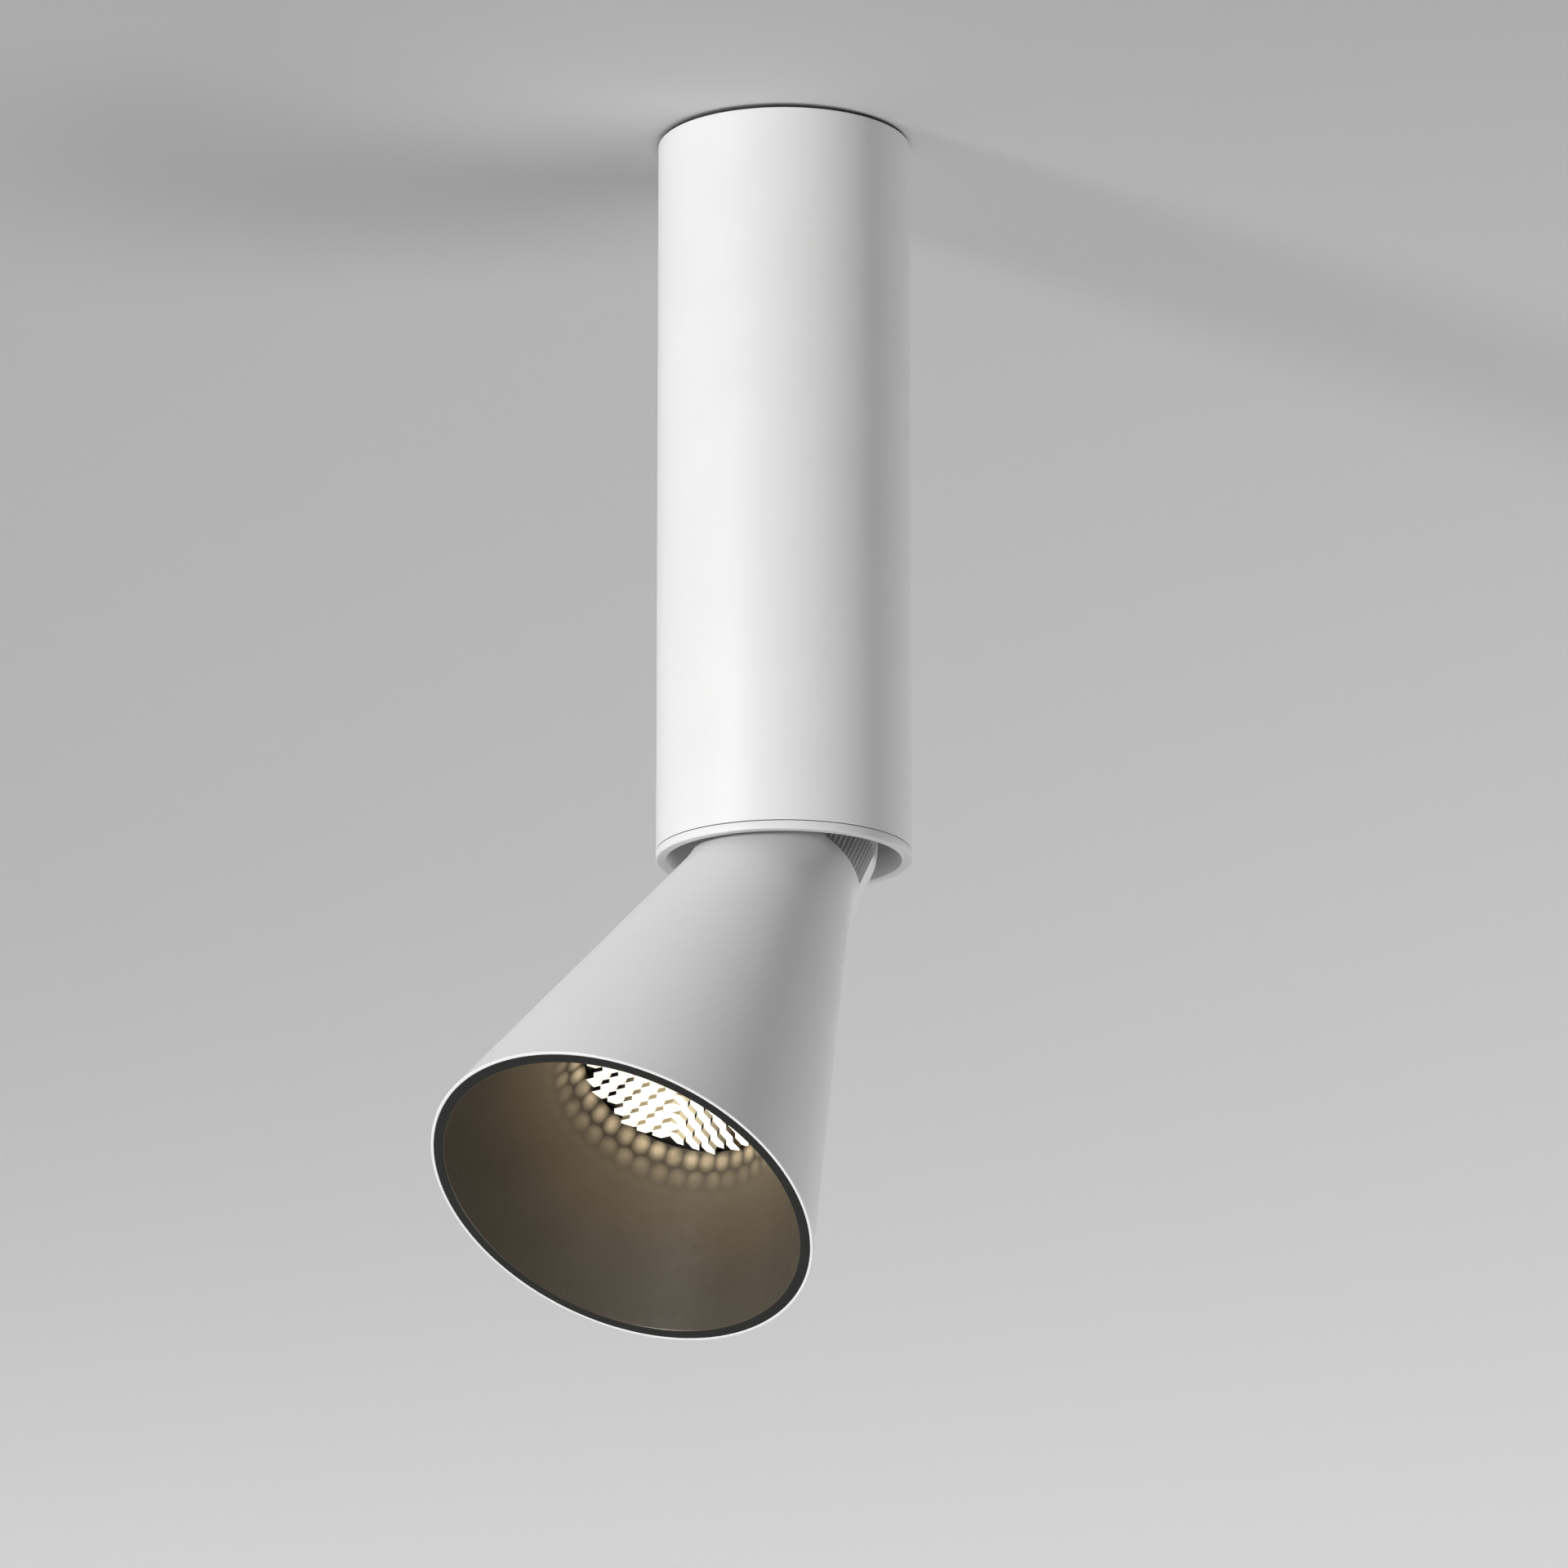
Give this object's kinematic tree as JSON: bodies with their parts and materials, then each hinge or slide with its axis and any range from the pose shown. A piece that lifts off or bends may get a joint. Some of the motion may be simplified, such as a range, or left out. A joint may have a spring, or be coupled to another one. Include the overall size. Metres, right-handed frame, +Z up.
{
  "type": "ceiling spotlight",
  "caption": "Ceiling spotlight: a plain tube on the ceiling with a cone head that turns and tilts on a hidden joint and shines through a recessed cell lens.",
  "frame": {"origin": "on the tube's axis in the ceiling plane, at the centre of the bracket's two slotted holes", "axes": "+Z up into the ceiling, +X along the line through the two slotted holes, -Y towards the pictured side"},
  "size_m": [0.1105, 0.1222, 0.295],
  "materials": {
    "white_powder_coat": "satin",
    "black_foam": "matte",
    "black_rubber": "matte",
    "zinc_plated_steel": "satin",
    "screw_steel": "satin",
    "spring_steel": "satin",
    "slippery_plastic": "satin",
    "bare_aluminium": "satin",
    "grey_pad": "matte",
    "white_board": "satin",
    "yellow_phosphor": "satin",
    "white_plastic": "satin",
    "clear_acrylic": "gloss",
    "black_plastic": "matte",
    "black_baffle": "satin",
    "brass": "satin",
    "green_board": "satin",
    "yellow_tape_core": "satin",
    "capacitor_sleeve": "gloss",
    "copper_coil": "satin",
    "brown_insulation": "satin",
    "blue_insulation": "satin",
    "green_yellow_insulation": "satin",
    "white_silicone": "satin"
  },
  "bodies": {
    "housing": {"housing_tube": "white_powder_coat", "end_ring": "white_powder_coat", "ceiling_gasket": "black_foam", "cable_grommet": "black_rubber", "ceiling_bracket": "zinc_plated_steel", "chassis_strip": "zinc_plated_steel", "bulkhead": "zinc_plated_steel", "set_screws": "screw_steel", "chassis_screws": "screw_steel", "pan_stop_pin": "screw_steel", "driver_screws": "screw_steel", "earth_screw": "screw_steel", "terminal_block": "white_plastic", "driver_lid": "white_plastic", "driver_case": "white_plastic", "input_connector": "white_plastic", "output_connector": "white_plastic", "terminal_clamps": "brass", "terminal_screws": "brass", "earth_tag": "brass", "driver_board": "green_board", "driver_transformer": "yellow_tape_core", "driver_capacitors": "capacitor_sleeve", "driver_coil": "copper_coil", "live_lead": "brown_insulation", "neutral_lead": "blue_insulation", "earth_lead": "green_yellow_insulation", "driver_lead": "white_silicone"},
    "swivel": {"swivel_stem": "zinc_plated_steel", "glide_washers": "slippery_plastic", "stop_washer": "spring_steel", "wave_washer": "spring_steel", "swivel_nut": "screw_steel", "stem_lead": "white_silicone"},
    "lamp_head": {"neck_cap": "white_powder_coat", "head_shell": "white_powder_coat", "heat_sink": "bare_aluminium", "shell_screws": "screw_steel", "thermal_pad": "grey_pad", "light_board": "white_board", "board_screws": "screw_steel", "light_emitter": "yellow_phosphor", "board_connector": "white_plastic", "head_lead": "white_silicone", "lens_holder": "black_plastic", "holder_screws": "screw_steel", "lens": "clear_acrylic", "anti_glare_baffle": "black_baffle", "hinge_yoke": "zinc_plated_steel", "yoke_screws": "screw_steel", "hinge_pin": "screw_steel", "hinge_nut": "screw_steel", "hinge_washers": "slippery_plastic", "hinge_spring_washer": "spring_steel"}
  },
  "joints": [
    {"name": "pan", "type": "hinge", "parent": "housing", "child": "swivel", "pos_m": [0, 0, -0.17676], "axis": [0, 0, 1], "range_deg": [-170, 170]},
    {"name": "tilt", "type": "hinge", "parent": "swivel", "child": "lamp_head", "pos_m": [0, 0, -0.17676], "axis": [0.8112, -0.5847, 0], "range_deg": [-1.58, 34.42]}
  ]
}
